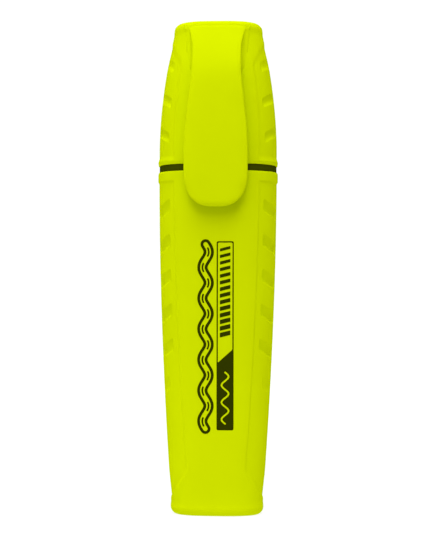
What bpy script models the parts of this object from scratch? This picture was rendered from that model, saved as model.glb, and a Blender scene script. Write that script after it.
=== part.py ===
"""Capped flat-barrel highlighter, standing upright on its tail.

Frame: metres, +Z along the pen towards the cap, origin at the centre of the flat tail face.
-Y is the front, where the pocket clip sits. Sizes below are in millimetres, and MM turns them into metres.
The cap slides off along +Z. The clip bends about the top of its root, so its node has its origin there.
"""

import math

import bmesh
import bpy
from mathutils import Matrix, Vector

MM = 0.001

# Body outline: nearly constant width at the joint, narrowing towards both ends.
LENGTH = 115.0
JOINT_HALF_WIDTH = 13.87
JOINT_HALF_DEPTH = 8.9
DEPTH_NARROWING = 2.9
BARREL_NARROWING = 3.08
CAP_NARROWING = 3.42
BARREL_WIDE_Z = 77.0
FOOT_Z = 2.6
CAP_WIDE_Z = 84.8
CROWN_Z = 112.3
BARREL_POWER = 1.75
CAP_POWER = 1.85
BODY_POWERS = (3.0, 2.0)     # |x/half_width|^3 + |y/half_depth|^2 = 1: flat front and back, rounder sides
OVAL_POWERS = (3.0, 3.0)     # the pieces inside
ROUND_POWERS = (2.0, 2.0)
SQUARE_POWERS = (4.0, 4.0)   # the nib, its bore and the clip
SECTION_POINTS = 48

# Walls and gaps.
WALL = 1.3
END_WALL = 1.8
GAP = 0.3
END_FILLET = 1.9
LIP_BEAD = 0.2               # how far the beads beside the joint stand proud

# The joint between barrel, front section and cap.
BARREL_RIM_Z = 79.5
RING_LOW_Z = BARREL_RIM_Z + GAP
RING_HIGH_Z = 81.05
CAP_LIP_Z = RING_HIGH_Z + GAP

# Front section: plug, spigot, nose.
PLUG_LOW_Z = 72.0
PLUG_HALF = (12.05, 7.2)
RING_HALF = (13.9, 8.95)
SPIGOT_HALF = (11.85, 7.05)
SPIGOT_TOP_Z = 90.0
NOSE_BASE_Z = 91.5
NOSE_TIP_Z = 100.0
NOSE_BASE_HALF = (5.0, 3.4)
NOSE_TIP_HALF = (3.9, 3.0)
HOLDER_HOLLOW_HALF = (10.8, 5.9)
HOLDER_HOLLOW_TOP_Z = 88.4

# Nib and ink system.
NIB_HALF = (2.5, 1.9)
NIB_LOW_Z = 68.0
NIB_TIP_Z = 106.5
NIB_SLANT = math.radians(28)
NIB_WEDGE = math.radians(16)
NIB_EDGE_HALF = 0.55
NIB_CUTTER = 14.0            # side of the blocks that cut its faces
INK_HALF = (7.6, 3.7)
INK_LOW_Z = 2.3
INK_TOP_Z = 84.0
FILM_WALL = 0.35
BREATHER_X = 5.4
BREATHER_RADIUS = 0.8
BREATHER_BORE = 0.45

# Inner cap, which seals over the nose.
INNER_CAP_HALF = (6.0, 4.4)
INNER_CAP_WALL = 0.7
INNER_CAP_MOUTH_Z = 92.2
INNER_CAP_TOP_Z = LENGTH - END_WALL - GAP
INNER_CAP_CEILING_Z = 109.5

# Locating ribs inside the barrel.
RIB_THICKNESS = 1.0
RIB_LOW_Z = 14.0
RIB_TOP_Z = 68.0
RIB_X = 4.0

# Grip notches in the rounded sides.
NOTCH_PITCH = 8.05
NOTCH_HEIGHT = 3.0
NOTCH_DEPTH = 0.55
NOTCH_SLANT = math.tan(math.radians(34))
BARREL_NOTCHES = 6
BARREL_NOTCH_Z = 70.3
BARREL_NOTCH_WIDTH = 3.0
CAP_NOTCHES = 3
CAP_NOTCH_Z = 86.1
CAP_NOTCH_WIDTH = 2.7

# Pocket clip.
CLIP_ROOT_Z = 112.3
CLIP_TIP_Z = 71.0
CLIP_TIP_CENTRE_Z = 80.0
CLIP_WAIST_Z = 106.5
CLIP_WAIST_HALF = 5.6
CLIP_FLARE = 0.9             # how much wider each side gets from the waist up to the root
CLIP_BELLY_HALF = 7.3
CLIP_BELLY_Z = 84.0
CLIP_LEAVES_CAP_Z = 104.0
CLIP_FRONT_Y = 12.4          # distance of the free length's front face from the mid-plane
CLIP_THICKNESS = 1.8
CLIP_ARCH = 5.1              # how far the front face curves back towards its root
CLIP_ARCH_POWER = 2.5
CLIP_BUMP_Z = 75.2
CLIP_BUMP = 1.0

COLOURS = {
    "shell": (0.597, 0.716, 0.004),
    "dark": (0.032, 0.041, 0.004),
    "fibre": (0.75, 0.86, 0.03),
    "ink": (0.62, 0.80, 0.02),
    "film": (0.80, 0.85, 0.80),
    "seal": (0.80, 0.80, 0.76),
}


# ---- helpers -----------------------------------------------------------------------------------

def smooth(t):
    """0 below 0, 1 above 1, an S between."""
    t = min(max(t, 0.0), 1.0)
    return t * t * (3.0 - 2.0 * t)


def section(half, z, powers=BODY_POWERS, centre_y=0.0, count=SECTION_POINTS):
    """A closed superellipse |x/a|^p + |y/b|^q = 1 of the given half width and half depth at height z."""
    points = []
    for index in range(count):
        angle = 2.0 * math.pi * index / count
        cos, sin = math.cos(angle), math.sin(angle)
        x = half[0] * math.copysign(abs(cos) ** (2.0 / powers[0]), cos)
        y = half[1] * math.copysign(abs(sin) ** (2.0 / powers[1]), sin)
        points.append(Vector((x, centre_y + y, z)) * MM)
    return points


def loft(name, rings, collection, loop=False):
    """Skin a chain of equal-count rings. The chain's ends are filled, or joined when loop is set."""
    mesh = bmesh.new()
    rows = [[mesh.verts.new(point) for point in ring] for ring in rings]
    pairs = list(zip(rows, rows[1:]))
    if loop:
        pairs.append((rows[-1], rows[0]))
    else:
        mesh.faces.new(rows[0])
        mesh.faces.new(rows[-1])
    for low, high in pairs:
        for index in range(len(low)):
            after = (index + 1) % len(low)
            mesh.faces.new((low[index], low[after], high[after], high[index]))
    bmesh.ops.recalc_face_normals(mesh, faces=mesh.faces)
    return finish(name, mesh, collection)


def finish(name, mesh, collection):
    """Turn a bmesh into an object of the collection."""
    data = bpy.data.meshes.new(name)
    mesh.to_mesh(data)
    mesh.free()
    data.shade_smooth()
    data.set_sharp_from_angle(angle=math.radians(35))
    item = bpy.data.objects.new(name, data)
    collection.objects.link(item)
    return item


def flat_outline(name, outline, thickness, collection):
    """A flat plate: a filled 2D outline in XY, thickness along Z, made a welded mesh."""
    curve = bpy.data.curves.new(name, "CURVE")
    curve.dimensions = "2D"
    curve.fill_mode = "BOTH"
    curve.extrude = thickness * MM / 2.0
    spline = curve.splines.new("POLY")
    spline.points.add(len(outline) - 1)
    for point, (x, y) in zip(spline.points, outline):
        point.co = (x * MM, y * MM, 0.0, 1.0)
    spline.use_cyclic_u = True
    drawn = bpy.data.objects.new(name + "_outline", curve)
    collection.objects.link(drawn)
    evaluated = drawn.evaluated_get(bpy.context.evaluated_depsgraph_get())
    mesh = bmesh.new()
    flat = bpy.data.meshes.new_from_object(evaluated)
    mesh.from_mesh(flat)
    bmesh.ops.remove_doubles(mesh, verts=mesh.verts, dist=0.00001)
    bmesh.ops.recalc_face_normals(mesh, faces=mesh.faces)
    bpy.data.meshes.remove(flat)
    bpy.data.objects.remove(drawn)
    bpy.data.curves.remove(curve)
    return finish(name, mesh, collection)


def boolean(item, tool, operation="DIFFERENCE"):
    """Cut or join a guide object, which stays as a hidden wire."""
    modifier = item.modifiers.new(tool.name, "BOOLEAN")
    modifier.operation = operation
    modifier.solver = "EXACT"
    modifier.object = tool
    tool.hide_render = True
    tool.display_type = "WIRE"


def join(name, items):
    """Join separate closed bodies into one guide object."""
    mesh = bmesh.new()
    for item in items:
        item.data.transform(item.matrix_basis)
        mesh.from_mesh(item.data)
    collection = items[0].users_collection[0]
    for item in items:
        bpy.data.objects.remove(item)
    return finish(name, mesh, collection)


def material(item, colour, roughness):
    shader = bpy.data.materials.new(item.name)
    shader.use_nodes = True
    principled = shader.node_tree.nodes["Principled BSDF"]
    principled.inputs["Base Color"].default_value = (*COLOURS[colour], 1.0)
    principled.inputs["Roughness"].default_value = roughness
    principled.inputs["Metallic"].default_value = 0.0
    item.data.materials.append(shader)
    shader.diffuse_color = (*COLOURS[colour], 1.0)


# ---- the body's outline ------------------------------------------------------------------------

def body_half(z, grow=0.0):
    """Half width and half depth of the outer surface at height z, grown or shrunk all round."""
    if z < (BARREL_RIM_Z + CAP_LIP_Z) / 2.0:
        share = max(BARREL_WIDE_Z - z, 0.0) / (BARREL_WIDE_Z - FOOT_Z)
        fall = min(share, 1.0) ** BARREL_POWER
        width = JOINT_HALF_WIDTH - BARREL_NARROWING * fall
    else:
        share = max(z - CAP_WIDE_Z, 0.0) / (CROWN_Z - CAP_WIDE_Z)
        fall = min(share, 1.0) ** CAP_POWER
        width = JOINT_HALF_WIDTH - CAP_NARROWING * fall
    return width + grow, JOINT_HALF_DEPTH - DEPTH_NARROWING * fall + grow


def body_ring(z, grow=0.0):
    return section(body_half(z, grow), z)


def fillet(z_end, towards):
    """Rings round the outer edge of an end face, from the face towards the body's middle."""
    rings = []
    for step in range(5):
        angle = step / 5.0 * math.pi / 2.0
        z = z_end + towards * END_FILLET * (1.0 - math.cos(angle))
        inset = END_FILLET * (1.0 - math.sin(angle))
        half = body_half(z_end, -inset)
        rings.append(section(half, z))
    return rings


def notches(name, first_z, count, step, width, slant, collection):
    """Slanted notch cutters: in the rounded sides, front and back, fading out at the side line."""
    cutters = []
    for index in range(count):
        z = first_z + index * step
        half = body_half(z + NOTCH_HEIGHT / 2.0)
        depth = NOTCH_DEPTH * (0.6 if index == count - 1 else 1.0)
        inner_x = half[0] - width
        floor = []
        for share in (0.0, 0.35, 0.65, 0.88, 1.0):
            x = half[0] - width * (1.0 - share)
            y = half[1] * (1.0 - min(x / half[0], 1.0) ** BODY_POWERS[0]) ** (1.0 / BODY_POWERS[1])
            cut = depth * (1.0 - share ** 3)
            floor.append((x - cut * share, max(y - cut, 0.25)))
        outside = [(half[0] + 1.5, 0.25), (half[0] + 1.5, half[1] + 1.5), (inner_x, half[1] + 1.5)]
        outline = floor + outside
        for side in (-1.0, 1.0):
            for face in (-1.0, 1.0):
                rings = []
                for level in (0.0, NOTCH_HEIGHT):
                    ring = []
                    for x, y in outline:
                        lift = slant * (x - inner_x)
                        ring.append(Vector((side * x, face * y, z + level + lift)) * MM)
                    rings.append(ring)
                cutters.append(loft(f"{name}_{len(cutters)}", rings, collection))
    return join(name, cutters)


# ---- the pieces --------------------------------------------------------------------------------

def barrel_ribs(collection):
    """Ribs along the cavity that hold the wrapped reservoir in the middle."""
    embed = 0.6
    reach_x = INK_HALF[0] + 2 * GAP + FILM_WALL
    reach_y = INK_HALF[1] + 2 * GAP + FILM_WALL
    levels = [RIB_LOW_Z + (RIB_TOP_Z - RIB_LOW_Z) * step / 4.0 for step in range(5)]
    ribs = []
    for axis, reach, places in ((1, reach_y, (-RIB_X, RIB_X)), (0, reach_x, (0.0,))):
        outline = [(reach, levels[0] + 1.0), (reach, levels[-1])]
        outline += [(body_half(z, embed - WALL)[axis], z) for z in reversed(levels)]
        for place in places:
            for face in (-1.0, 1.0):
                rib = flat_outline(f"rib_{len(ribs)}", outline, RIB_THICKNESS, collection)
                if axis == 1:
                    basis = Matrix(((0, 0, 1, place * MM), (face, 0, 0, 0), (0, 1, 0, 0), (0, 0, 0, 1)))
                else:
                    basis = Matrix(((face, 0, 0, 0), (0, 0, 1, place * MM), (0, 1, 0, 0), (0, 0, 0, 1)))
                rib.matrix_basis = basis
                ribs.append(rib)
    joined = join("barrel_ribs", ribs)
    tidy_normals(joined)
    return joined


def tidy_normals(item):
    mesh = bmesh.new()
    mesh.from_mesh(item.data)
    bmesh.ops.recalc_face_normals(mesh, faces=mesh.faces)
    mesh.to_mesh(item.data)
    mesh.free()


def barrel_shell(parts, guides):
    """The barrel: closed rounded tail, long tapered cavity, a bead below the open rim."""
    rings = fillet(0.0, 1.0)
    rings += [body_ring(END_FILLET, 0.1), body_ring(FOOT_Z + 0.2)]
    rings += [body_ring(z) for z in (8, 16, 24, 32, 40, 48, 56, 64, 71, 77.0)]
    rings += [body_ring(77.8, LIP_BEAD), body_ring(79.1, LIP_BEAD), body_ring(BARREL_RIM_Z, 0.0)]
    rings += [body_ring(z, -WALL) for z in (BARREL_RIM_Z, 68, 56, 44, 32, 20, 10, END_WALL)]
    shell = loft("barrel_shell", rings, parts)
    boolean(shell, barrel_ribs(guides), "UNION")
    cutters = notches("barrel_notches", BARREL_NOTCH_Z, BARREL_NOTCHES, -NOTCH_PITCH,
                      BARREL_NOTCH_WIDTH, -NOTCH_SLANT, guides)
    boolean(shell, cutters)
    material(shell, "shell", 0.4)
    return shell


def nib_holder(parts):
    """The dark front section: plug, visible ring, spigot, shoulder and nose, hollow below the nose."""
    bore = (NIB_HALF[0] + GAP, NIB_HALF[1] + GAP)
    steps = [
        (PLUG_HALF, PLUG_LOW_Z, BODY_POWERS), (PLUG_HALF, RING_LOW_Z, BODY_POWERS),
        (RING_HALF, RING_LOW_Z, BODY_POWERS), (RING_HALF, RING_HIGH_Z, BODY_POWERS),
        (SPIGOT_HALF, RING_HIGH_Z, BODY_POWERS), (SPIGOT_HALF, SPIGOT_TOP_Z, BODY_POWERS),
        (NOSE_BASE_HALF, NOSE_BASE_Z, OVAL_POWERS), (NOSE_TIP_HALF, NOSE_TIP_Z, OVAL_POWERS),
        (bore, NOSE_TIP_Z, SQUARE_POWERS), (bore, HOLDER_HOLLOW_TOP_Z, SQUARE_POWERS),
        (HOLDER_HOLLOW_HALF, HOLDER_HOLLOW_TOP_Z, BODY_POWERS), (HOLDER_HOLLOW_HALF, PLUG_LOW_Z, BODY_POWERS),
    ]
    rings = [section(half, z, powers) for half, z, powers in steps]
    holder = loft("nib_holder", rings, parts, loop=True)
    material(holder, "dark", 0.45)
    return holder


def chisel_nib(parts, guides):
    """A flat fibre rod: slanted across its width and ground to a wedge in its depth."""
    rings = [section(NIB_HALF, z, SQUARE_POWERS, count=32) for z in (NIB_LOW_Z, 90.0, NIB_TIP_Z)]
    nib = loft("chisel_nib", rings, parts)
    slant_drop = NIB_HALF[0] * math.tan(NIB_SLANT)
    upright = math.pi / 2.0
    planes = (
        ("nib_slant_cutter", (0.0, 0.0, NIB_TIP_Z - slant_drop), Matrix.Rotation(NIB_SLANT, 4, "Y")),
        ("nib_front_cutter", (0.0, -NIB_EDGE_HALF, NIB_TIP_Z), Matrix.Rotation(upright - NIB_WEDGE, 4, "X")),
        ("nib_back_cutter", (0.0, NIB_EDGE_HALF, NIB_TIP_Z), Matrix.Rotation(NIB_WEDGE - upright, 4, "X")),
    )
    for name, place, turn in planes:
        mesh = bmesh.new()
        bmesh.ops.create_cube(mesh, size=NIB_CUTTER * MM)
        bmesh.ops.translate(mesh, verts=mesh.verts, vec=(0.0, 0.0, NIB_CUTTER * MM / 2.0))
        cutter = finish(name, mesh, guides)
        cutter.matrix_basis = Matrix.Translation(Vector(place) * MM) @ turn
        boolean(nib, cutter)
    material(nib, "fibre", 0.9)
    return nib


def ink_reservoir(parts, guides):
    """The fibre bundle, with a pocket for the nib's foot and a bore for the breather straw."""
    ink = loft("ink_reservoir", [section(INK_HALF, z, OVAL_POWERS) for z in (INK_LOW_Z, INK_TOP_Z)], parts)
    pocket_half = (NIB_HALF[0] + GAP, NIB_HALF[1] + GAP)
    pocket = loft("nib_pocket", [section(pocket_half, z, SQUARE_POWERS, count=32)
                                 for z in (NIB_LOW_Z - GAP, INK_TOP_Z + 1.0)], guides)
    bore_half = (BREATHER_RADIUS + GAP, BREATHER_RADIUS + GAP)
    bore = loft("breather_bore", [section(bore_half, z, ROUND_POWERS, count=16)
                                  for z in (INK_LOW_Z - 1.0, INK_TOP_Z + 1.0)], guides)
    bore.location.x = BREATHER_X * MM
    boolean(ink, pocket)
    boolean(ink, bore)
    material(ink, "ink", 0.9)
    return ink


def tube(name, outer, inner, low, high, parts, powers=OVAL_POWERS, count=SECTION_POINTS):
    corners = ((outer, low), (outer, high), (inner, high), (inner, low))
    rings = [section(half, z, powers, count=count) for half, z in corners]
    return loft(name, rings, parts, loop=True)


def reservoir_film(parts):
    inner = (INK_HALF[0] + GAP, INK_HALF[1] + GAP)
    outer = (inner[0] + FILM_WALL, inner[1] + FILM_WALL)
    film = tube("reservoir_film", outer, inner, INK_LOW_Z + 0.4, INK_TOP_Z - 0.4, parts)
    material(film, "film", 0.3)
    return film


def breather_tube(parts):
    outer = (BREATHER_RADIUS, BREATHER_RADIUS)
    inner = (BREATHER_BORE, BREATHER_BORE)
    straw = tube("breather_tube", outer, inner, INK_LOW_Z + 1.0, INK_TOP_Z - 1.0, parts, ROUND_POWERS, 16)
    straw.location.x = BREATHER_X * MM
    material(straw, "film", 0.3)
    return straw


def cap_shell(parts, guides):
    """The cap: an open mouth with a bead round its lip, a tapered hollow and a closed, rounded top."""
    rings = [body_ring(z, -WALL) for z in (LENGTH - END_WALL, 108, 102, 96, 90, CAP_LIP_Z)]
    rings += [body_ring(CAP_LIP_Z, -0.05), body_ring(81.7, LIP_BEAD - 0.05), body_ring(82.6, LIP_BEAD - 0.05)]
    rings += [body_ring(z) for z in (83.6, 88, 92, 96, 100, 104, 108, CROWN_Z)]
    rings += [body_ring(LENGTH - END_FILLET, 0.08)]
    rings += list(reversed(fillet(LENGTH, -1.0)))
    shell = loft("cap_shell", rings, parts)
    cutters = notches("cap_notches", CAP_NOTCH_Z, CAP_NOTCHES, NOTCH_PITCH,
                      CAP_NOTCH_WIDTH, NOTCH_SLANT, guides)
    boolean(shell, cutters)
    material(shell, "shell", 0.4)
    return shell


def inner_cap(parts):
    hollow = (INNER_CAP_HALF[0] - INNER_CAP_WALL, INNER_CAP_HALF[1] - INNER_CAP_WALL)
    steps = [
        (hollow, INNER_CAP_CEILING_Z), (hollow, INNER_CAP_MOUTH_Z),
        (INNER_CAP_HALF, INNER_CAP_MOUTH_Z), (INNER_CAP_HALF, INNER_CAP_TOP_Z),
    ]
    seal = loft("inner_cap", [section(half, z, OVAL_POWERS) for half, z in steps], parts)
    material(seal, "seal", 0.5)
    return seal


def clip_half_width(z):
    """A flared root, a waist, a wider free end with a rounded tip."""
    if z > CLIP_WAIST_Z:
        return CLIP_WAIST_HALF + CLIP_FLARE * ((z - CLIP_WAIST_Z) / (CLIP_ROOT_Z - CLIP_WAIST_Z)) ** 2
    spread = smooth((CLIP_WAIST_Z - z) / (CLIP_WAIST_Z - CLIP_BELLY_Z))
    width = CLIP_WAIST_HALF + (CLIP_BELLY_HALF - CLIP_WAIST_HALF) * spread
    if z < CLIP_TIP_CENTRE_Z:
        share = (CLIP_TIP_CENTRE_Z - z) / (CLIP_TIP_CENTRE_Z - CLIP_TIP_Z)
        width *= (1.0 - share ** 2.6) ** (1.0 / 2.6)
    return width


def clip_depths(z):
    """Distances of the clip's back and front faces from the body's mid-plane at height z."""
    rise = max(z - CLIP_TIP_CENTRE_Z, 0.0) / (CLIP_ROOT_Z - CLIP_TIP_CENTRE_Z)
    front = CLIP_FRONT_Y - CLIP_ARCH * rise ** CLIP_ARCH_POWER
    seat = body_half(z)[1] + GAP
    free = smooth((CLIP_LEAVES_CAP_Z - z) / 7.0)
    back = seat + (front - CLIP_THICKNESS - seat) * free
    bump = CLIP_BUMP * smooth(1.0 - abs(z - CLIP_BUMP_Z) / 2.4)
    return back - bump, front


def pocket_clip(parts):
    """The clip, bending about the top back edge of its root."""
    levels = [71.2, 71.6, 72.2, 73.0, 73.8, 74.5, 75.2, 76.0, 77.0, 78.5, 80, 83, 86, 89, 92, 95, 97.5, 100,
              102, 104, 106, 108, 110, 111.4, CLIP_ROOT_Z]
    rings = []
    for z in levels:
        back, front = clip_depths(z)
        half = (clip_half_width(z), (front - back) / 2.0)
        tip = smooth((z - levels[0] + 0.9) / 2.0)
        rings.append(section((half[0], half[1] * (0.55 + 0.45 * tip)), z, SQUARE_POWERS, -(front + back) / 2.0, 32))
    clip = loft("pocket_clip", rings, parts)
    pivot = Vector((0.0, -(body_half(CLIP_ROOT_Z)[1] + GAP), CLIP_ROOT_Z)) * MM
    clip.data.transform(Matrix.Translation(-pivot))
    clip.location = pivot
    material(clip, "shell", 0.4)
    return clip


def main():
    for item in list(bpy.data.objects):
        bpy.data.objects.remove(item)
    parts = bpy.data.collections.new("highlighter")
    guides = bpy.data.collections.new("cutters")
    for collection in (parts, guides):
        bpy.context.scene.collection.children.link(collection)

    barrel_shell(parts, guides)
    nib_holder(parts)
    chisel_nib(parts, guides)
    ink_reservoir(parts, guides)
    reservoir_film(parts)
    breather_tube(parts)

    cap_slide = bpy.data.objects.new("cap_slide", None)
    cap_slide.location = (0.0, 0.0, CAP_LIP_Z * MM)
    parts.objects.link(cap_slide)
    bpy.context.view_layer.update()
    for piece in (cap_shell(parts, guides), inner_cap(parts), pocket_clip(parts)):
        piece.parent = cap_slide
        piece.matrix_parent_inverse = cap_slide.matrix_world.inverted()


main()
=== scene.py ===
"""Looks of the capped flat-barrel highlighter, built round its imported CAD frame.

Everything is in metres in the CAD's frame: the pen stands on its tail, +Z runs up to the cap and -Y is the
front, where the clip is. Sizes below are in millimetres and MM turns them into metres.
"""

import math

import bmesh
import bpy
import numpy as np
from mathutils import Matrix, Vector


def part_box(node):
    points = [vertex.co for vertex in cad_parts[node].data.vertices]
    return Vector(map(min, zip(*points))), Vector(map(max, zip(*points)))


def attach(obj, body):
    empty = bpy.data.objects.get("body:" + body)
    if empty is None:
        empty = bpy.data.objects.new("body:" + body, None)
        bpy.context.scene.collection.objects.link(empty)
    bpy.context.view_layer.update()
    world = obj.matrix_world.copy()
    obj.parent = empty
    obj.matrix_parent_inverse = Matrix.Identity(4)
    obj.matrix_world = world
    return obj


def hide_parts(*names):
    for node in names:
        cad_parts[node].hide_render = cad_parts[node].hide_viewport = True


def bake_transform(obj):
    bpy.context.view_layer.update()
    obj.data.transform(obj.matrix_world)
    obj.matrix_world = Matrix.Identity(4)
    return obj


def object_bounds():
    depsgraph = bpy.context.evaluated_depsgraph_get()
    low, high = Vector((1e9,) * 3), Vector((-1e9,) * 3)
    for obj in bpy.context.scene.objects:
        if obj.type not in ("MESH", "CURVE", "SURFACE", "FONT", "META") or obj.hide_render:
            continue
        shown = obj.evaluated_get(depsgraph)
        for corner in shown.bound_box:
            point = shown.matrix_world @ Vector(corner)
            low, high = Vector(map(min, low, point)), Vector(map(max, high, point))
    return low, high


MM = 0.001

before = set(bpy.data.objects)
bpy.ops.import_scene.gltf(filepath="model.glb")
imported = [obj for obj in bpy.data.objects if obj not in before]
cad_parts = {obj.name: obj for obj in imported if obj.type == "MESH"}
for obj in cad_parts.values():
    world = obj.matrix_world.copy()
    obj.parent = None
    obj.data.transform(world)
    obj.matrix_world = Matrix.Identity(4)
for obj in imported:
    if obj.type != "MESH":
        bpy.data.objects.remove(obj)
cad_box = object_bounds()

# ---- places read from the frame, millimetres ----
LENGTH = cad_box[1].z / MM
HOLDER_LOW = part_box("nib_holder")[0] / MM
NIB_LOW, NIB_HIGH = (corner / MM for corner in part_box("chisel_nib"))
INNER_CAP_LOW, INNER_CAP_HIGH = (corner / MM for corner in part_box("inner_cap"))
CLIP_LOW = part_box("pocket_clip")[0] / MM
CAP_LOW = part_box("cap_shell")[0] / MM
BARREL_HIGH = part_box("barrel_shell")[1] / MM

# ---- the body's outline: the CAD's, a little narrower at the joint to match the photo ----
JOINT_HALF_WIDTH = 13.8
JOINT_HALF_DEPTH = 8.9
DEPTH_NARROWING = 2.9
BARREL_NARROWING = 3.08
CAP_NARROWING = 3.42
BARREL_WIDE_Z = 77.0
FOOT_Z = 2.6
CAP_WIDE_Z = 84.8
CROWN_Z = 112.3
BARREL_POWER = 1.75
CAP_POWER = 1.85
BODY_POWERS = (3.0, 2.0)     # |x/half_width|^3 + |y/half_depth|^2 = 1
WALL = 1.3
END_WALL = 1.8
TAIL_SIDE_RADIUS = 1.45      # rounding of the end faces, seen from the front
CAP_SIDE_RADIUS = 1.95
END_RADIUS = 1.8
END_CROWN = 0.3              # how far an end face bulges in the middle

# ---- the joint: the visible gap lines are much finer than the CAD's 0.3 mm gaps ----
SEAM = 0.02
RIM_RAISED = 0.22            # the barrel's rim is this far above the CAD's
RING_LOWERED = 0.05          # and the ring's upper edge this far below the CAD's cap
BARREL_RIM_Z = BARREL_HIGH.z + RIM_RAISED
RING_LOW_Z = BARREL_RIM_Z + SEAM
RING_HIGH_Z = CAP_LOW.z - RING_LOWERED
CAP_LIP_Z = RING_HIGH_Z + SEAM

# ---- relief of the moulded shells ----
PANEL_DEPTH = 0.27           # the side panels lie this far below the front and the beads
NOTCH_PITCH = 8.05
NOTCH_SLANT = math.tan(math.radians(34))
NOTCH_DEPTH = 0.75
NOTCH_ROUNDING = 0.7
NOTCH_WALL = 0.4             # how softly the inner wall turns in
NOTCH_SLOPE = 0.62           # share of its height over which the upper edge slopes in
NOTCH_LEDGE = 1.0            # height of the lower ledge's turn
RIDGE_HALF = 0.5             # the mould's plain ridge on the mid-plane: half its width
RIDGE_RUN = 1.1              # and how softly the notches fade out beside it
CREASE_SLOPE = 1.45          # how steeply the crease at a panel's far end runs inwards
RIM_TURN = 0.12              # how far the barrel's rim and the cap's lip turn in
LIP_TURN = 0.1
NOTCHED_ANGLE = 63.0         # the notches and the panels' edges lie within these degrees of the side line
WALL_ROWS = (68.0, 56.0, 44.0, 32.0, 20.0, 10.0)     # heights of the rows on the inner walls
CAP_WALL_ROWS = (108.0, 102.0, 96.0, 90.0)

# the notches of one side: the height of the first one's ledge, the step to the next, and a faint last one
BARREL_NOTCHES = {
    "first_z": 70.35,
    "step": -NOTCH_PITCH,
    "count": 6,
    "height": 3.2,
    "width": 3.05,
    "depth": 0.85 * NOTCH_DEPTH,
    "last_width": 1.9,
    "last_depth": 0.4 * NOTCH_DEPTH,
}
CAP_NOTCHES = {
    "first_z": 86.1,
    "step": NOTCH_PITCH,
    "count": 3,
    "height": 2.5,
    "width": 2.75,
    "depth": 0.6 * NOTCH_DEPTH,
    "last_width": 2.2,
    "last_depth": 0.35 * NOTCH_DEPTH,
}


def smooth(t):
    """0 below 0, 1 above 1, an S between. Works on numbers and arrays."""
    t = np.clip(t, 0.0, 1.0)
    return t * t * (3.0 - 2.0 * t)


def ramp(x, start, run):
    """0 at start, 1 a run further on (below start where the run is negative), an S between."""
    return smooth((x - start) / run)


def bump(x, centre, half_width):
    """A smooth bump of height 1 at centre, 0 beyond half_width."""
    return smooth(1.0 - np.abs(x - centre) / half_width)


def body_half(z):
    """Half width and half depth of the panels' level at height z."""
    z = np.asarray(z, float)
    low = np.clip((BARREL_WIDE_Z - z) / (BARREL_WIDE_Z - FOOT_Z), 0.0, 1.0) ** BARREL_POWER
    high = np.clip((z - CAP_WIDE_Z) / (CROWN_Z - CAP_WIDE_Z), 0.0, 1.0) ** CAP_POWER
    width = JOINT_HALF_WIDTH - BARREL_NARROWING * low - CAP_NARROWING * high
    depth = JOINT_HALF_DEPTH - DEPTH_NARROWING * (low + high)
    return width, depth


def superellipse(angle, powers=BODY_POWERS):
    """Unit superellipse point |x|^p + |y|^q = 1 for an angle array."""
    cos, sin = np.cos(angle), np.sin(angle)
    x = np.sign(cos) * np.abs(cos) ** (2.0 / powers[0])
    y = np.sign(sin) * np.abs(sin) ** (2.0 / powers[1])
    return x, y


# ---- meshes ------------------------------------------------------------------------------------

def make_object(name, verts, faces, smooth_angle=None):
    """A mesh object in the scene, smooth but for edges above an angle in degrees."""
    mesh = bpy.data.meshes.new(name)
    mesh.from_pydata(verts, [], faces)
    mesh.validate()
    mesh.shade_smooth()
    if smooth_angle is not None:
        mesh.set_sharp_from_angle(angle=math.radians(smooth_angle))
    item = bpy.data.objects.new(name, mesh)
    bpy.context.scene.collection.objects.link(item)
    return item


def skin(name, rings, loop=False, smooth_angle=None):
    """Skin a chain of rings, given as an array [ring, point, xyz] in millimetres, into one closed body."""
    rings = np.asarray(rings, float) * MM
    count, size = rings.shape[:2]
    verts = rings.reshape(-1, 3)
    faces = []
    last = count if loop else count - 1
    for row in range(last):
        low, high = row * size, ((row + 1) % count) * size
        for index in range(size):
            after = (index + 1) % size
            faces.append((low + index, low + after, high + after, high + index))
    verts = [tuple(v) for v in verts]
    if not loop:
        for row, flip in ((0, True), (count - 1, False)):
            centre = len(verts)
            verts.append(tuple(rings[row].mean(0)))
            for index in range(size):
                after = (index + 1) % size
                a, b = row * size + index, row * size + after
                faces.append((b, a, centre) if flip else (a, b, centre))
    item = make_object(name, verts, faces, smooth_angle)
    outward(item)
    return item


def outward(item):
    """Turn every face of a closed body outwards."""
    mesh = bmesh.new()
    mesh.from_mesh(item.data)
    bmesh.ops.recalc_face_normals(mesh, faces=mesh.faces)
    mesh.to_mesh(item.data)
    mesh.free()


# ---- the moulded shells ------------------------------------------------------------------------
#
# A shell's panel says where its side panels lie. sign is 1 where the joint is above them and -1 where it is
# below. They end at joint_z, end_z (on the side line) and width (how far they reach in), and joint_run,
# end_run and edge_run say how softly they turn up there. grow is how far the front stands above the panels'
# level, flare how much further the sides stand out, and side_radius rounds the far end.

def shell_angles():
    """Angles round the body: close together over the notched sides and the panels' edges."""
    side = np.linspace(0.0, math.radians(NOTCHED_ANGLE), 64)
    front = np.linspace(math.radians(NOTCHED_ANGLE), math.radians(90.0), 12)[1:]
    quarter = np.concatenate((side, front))
    half = np.concatenate((quarter, (math.pi - quarter[:-1])[::-1]))
    return np.concatenate((half, (2.0 * math.pi - half[1:-1])[::-1]))


def notch_places(row):
    """A row of notches as (height of the ledge, height, width, depth), the last of them faint."""
    notches = []
    for index in range(row["count"]):
        kind = "last_" if index == row["count"] - 1 else ""
        base = row["first_z"] + index * row["step"]
        notches.append((base, row["height"], row[kind + "width"], row[kind + "depth"]))
    return notches


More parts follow.
